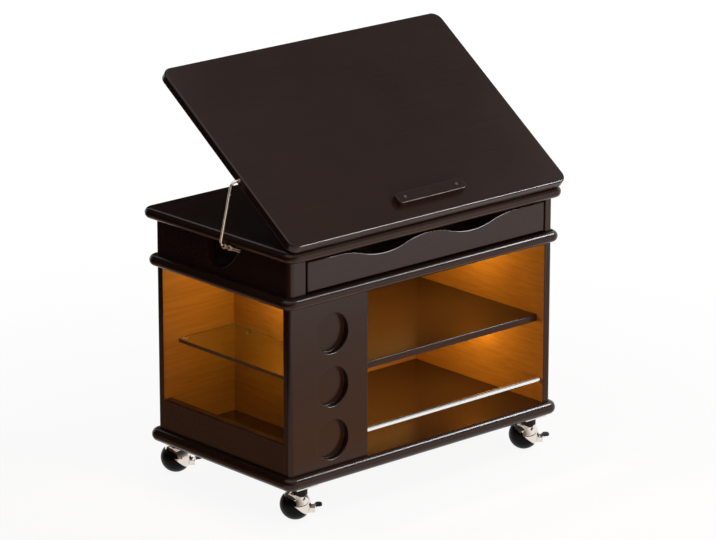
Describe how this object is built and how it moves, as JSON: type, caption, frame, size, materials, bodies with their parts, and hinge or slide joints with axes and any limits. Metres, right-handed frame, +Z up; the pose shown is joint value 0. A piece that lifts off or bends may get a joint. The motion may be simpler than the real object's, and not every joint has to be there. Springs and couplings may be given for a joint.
{
  "type": "adjustable side table",
  "caption": "Low cabinet table on ball casters with a tilting lid on a wire prop, a scooped drawer, lit open shelves and a guard rail.",
  "frame": {"origin": "middle of the bounding box's foot, on the floor", "axes": "+Z up; +X to the right seen from the front; -Y is the drawer's front"},
  "size_m": [0.6376, 0.3918, 0.7199],
  "materials": {
    "espresso_lacquer": "espresso-brown semi-gloss lacquer",
    "drawer_wood": "pale birch, clear satin",
    "shelf_glass": "clear polished",
    "polished_chrome": "polished chrome plate",
    "wire_nickel": "satin champagne nickel plate",
    "zinc_steel": "zinc plated",
    "black_steel": "black enamel",
    "led_aluminium": "anodised",
    "led_lens": "frosted, glows warm amber",
    "black_plastic": "matt black",
    "wheel_rubber": "black, satin"
  },
  "bodies": {
    "cabinet": {"base_board": "espresso_lacquer", "front_left_panel": "espresso_lacquer", "partition_panel": "espresso_lacquer", "right_side_panel": "espresso_lacquer", "back_panel": "espresso_lacquer", "left_side_rail": "espresso_lacquer", "mid_shelf": "espresso_lacquer", "mid_shelf_pins": "polished_chrome", "glass_shelf": "shelf_glass", "glass_shelf_pins": "polished_chrome", "guard_rail": "polished_chrome", "led_channels": "led_aluminium", "led_lenses": "led_lens", "mid_board": "espresso_lacquer", "apron_left_post": "espresso_lacquer", "apron_left_side": "espresso_lacquer", "apron_left_cheek": "espresso_lacquer", "apron_right_side": "espresso_lacquer", "apron_back": "espresso_lacquer", "drawer_runners": "zinc_steel", "fixed_top": "espresso_lacquer", "hinge_fixed_leaves": "black_steel", "hinge_pins": "zinc_steel", "cabinet_screws": "zinc_steel", "edge_caps_top": "black_plastic", "prop_bracket": "wire_nickel", "caster_mounts": "polished_chrome"},
    "lid": {"lid_panel": "espresso_lacquer", "hinge_lid_leaves": "black_steel", "lid_screws": "polished_chrome", "book_stop": "espresso_lacquer", "prop_socket": "wire_nickel", "edge_caps_lid": "black_plastic"},
    "prop": {"prop_wire": "wire_nickel"},
    "drawer": {"drawer_front": "espresso_lacquer", "drawer_side_left": "drawer_wood", "drawer_side_right": "drawer_wood", "drawer_back": "drawer_wood", "drawer_floor": "drawer_wood", "drawer_slides": "zinc_steel"},
    "caster_front_left": {"caster_hood_front_left": "polished_chrome", "caster_collar_front_left": "black_plastic", "caster_axle_front_left": "zinc_steel"},
    "wheel_front_left": {"caster_wheel_front_left": "wheel_rubber"},
    "brake_front_left": {"brake_lever_front_left": "polished_chrome"},
    "caster_front_right": {"caster_hood_front_right": "polished_chrome", "caster_collar_front_right": "black_plastic", "caster_axle_front_right": "zinc_steel"},
    "wheel_front_right": {"caster_wheel_front_right": "wheel_rubber"},
    "brake_front_right": {"brake_lever_front_right": "polished_chrome"},
    "caster_back_left": {"caster_hood_back_left": "polished_chrome", "caster_collar_back_left": "black_plastic", "caster_axle_back_left": "zinc_steel"},
    "wheel_back_left": {"caster_wheel_back_left": "wheel_rubber"},
    "brake_back_left": {"brake_lever_back_left": "polished_chrome"},
    "caster_back_right": {"caster_hood_back_right": "polished_chrome", "caster_collar_back_right": "black_plastic", "caster_axle_back_right": "zinc_steel"},
    "wheel_back_right": {"caster_wheel_back_right": "wheel_rubber"},
    "brake_back_right": {"brake_lever_back_right": "polished_chrome"}
  },
  "joints": [
    {"name": "lid_tilt", "type": "hinge", "parent": "cabinet", "child": "lid", "pos_m": [0.00879, -0.18606, 0.47325], "axis": [1, 0, 0], "range_deg": [-35.5, 0]},
    {"name": "prop_swing", "type": "hinge", "parent": "cabinet", "child": "prop", "pos_m": [-0.30321, -0.03656, 0.453], "axis": [0, -1, 0], "range_deg": [0, 165]},
    {"name": "drawer_slide", "type": "slide", "parent": "cabinet", "child": "drawer", "axis": [0, -1, 0], "range_m": [0, 0.24]},
    {"name": "caster_swivel_front_left", "type": "hinge", "parent": "cabinet", "child": "caster_front_left", "pos_m": [-0.25371, -0.15506, 0.05], "axis": [0, 0, 1], "continuous": true},
    {"name": "wheel_roll_front_left", "type": "hinge", "parent": "caster_front_left", "child": "wheel_front_left", "pos_m": [-0.25618, -0.14674, 0.026], "axis": [-0.5481, 0.3838, -0.7431], "continuous": true},
    {"name": "brake_press_front_left", "type": "hinge", "parent": "caster_front_left", "child": "brake_front_left", "pos_m": [-0.23325, -0.1628, 0.017], "axis": [0.5736, 0.8192, 0], "range_deg": [0, 12]},
    {"name": "caster_swivel_front_right", "type": "hinge", "parent": "cabinet", "child": "caster_front_right", "pos_m": [0.27129, -0.15506, 0.05], "axis": [0, 0, 1], "continuous": true},
    {"name": "wheel_roll_front_right", "type": "hinge", "parent": "caster_front_right", "child": "wheel_front_right", "pos_m": [0.26882, -0.14674, 0.026], "axis": [-0.5481, 0.3838, -0.7431], "continuous": true},
    {"name": "brake_press_front_right", "type": "hinge", "parent": "caster_front_right", "child": "brake_front_right", "pos_m": [0.29175, -0.1628, 0.017], "axis": [0.5736, 0.8192, 0], "range_deg": [0, 12]},
    {"name": "caster_swivel_back_left", "type": "hinge", "parent": "cabinet", "child": "caster_back_left", "pos_m": [-0.25371, 0.15594, 0.05], "axis": [0, 0, 1], "continuous": true},
    {"name": "wheel_roll_back_left", "type": "hinge", "parent": "caster_back_left", "child": "wheel_back_left", "pos_m": [-0.25618, 0.16426, 0.026], "axis": [-0.5481, 0.3838, -0.7431], "continuous": true},
    {"name": "brake_press_back_left", "type": "hinge", "parent": "caster_back_left", "child": "brake_back_left", "pos_m": [-0.23325, 0.1482, 0.017], "axis": [0.5736, 0.8192, 0], "range_deg": [0, 12]},
    {"name": "caster_swivel_back_right", "type": "hinge", "parent": "cabinet", "child": "caster_back_right", "pos_m": [0.27129, 0.15594, 0.05], "axis": [0, 0, 1], "continuous": true},
    {"name": "wheel_roll_back_right", "type": "hinge", "parent": "caster_back_right", "child": "wheel_back_right", "pos_m": [0.26882, 0.16426, 0.026], "axis": [-0.5481, 0.3838, -0.7431], "continuous": true},
    {"name": "brake_press_back_right", "type": "hinge", "parent": "caster_back_right", "child": "brake_back_right", "pos_m": [0.29175, 0.1482, 0.017], "axis": [0.5736, 0.8192, 0], "range_deg": [0, 12]}
  ]
}
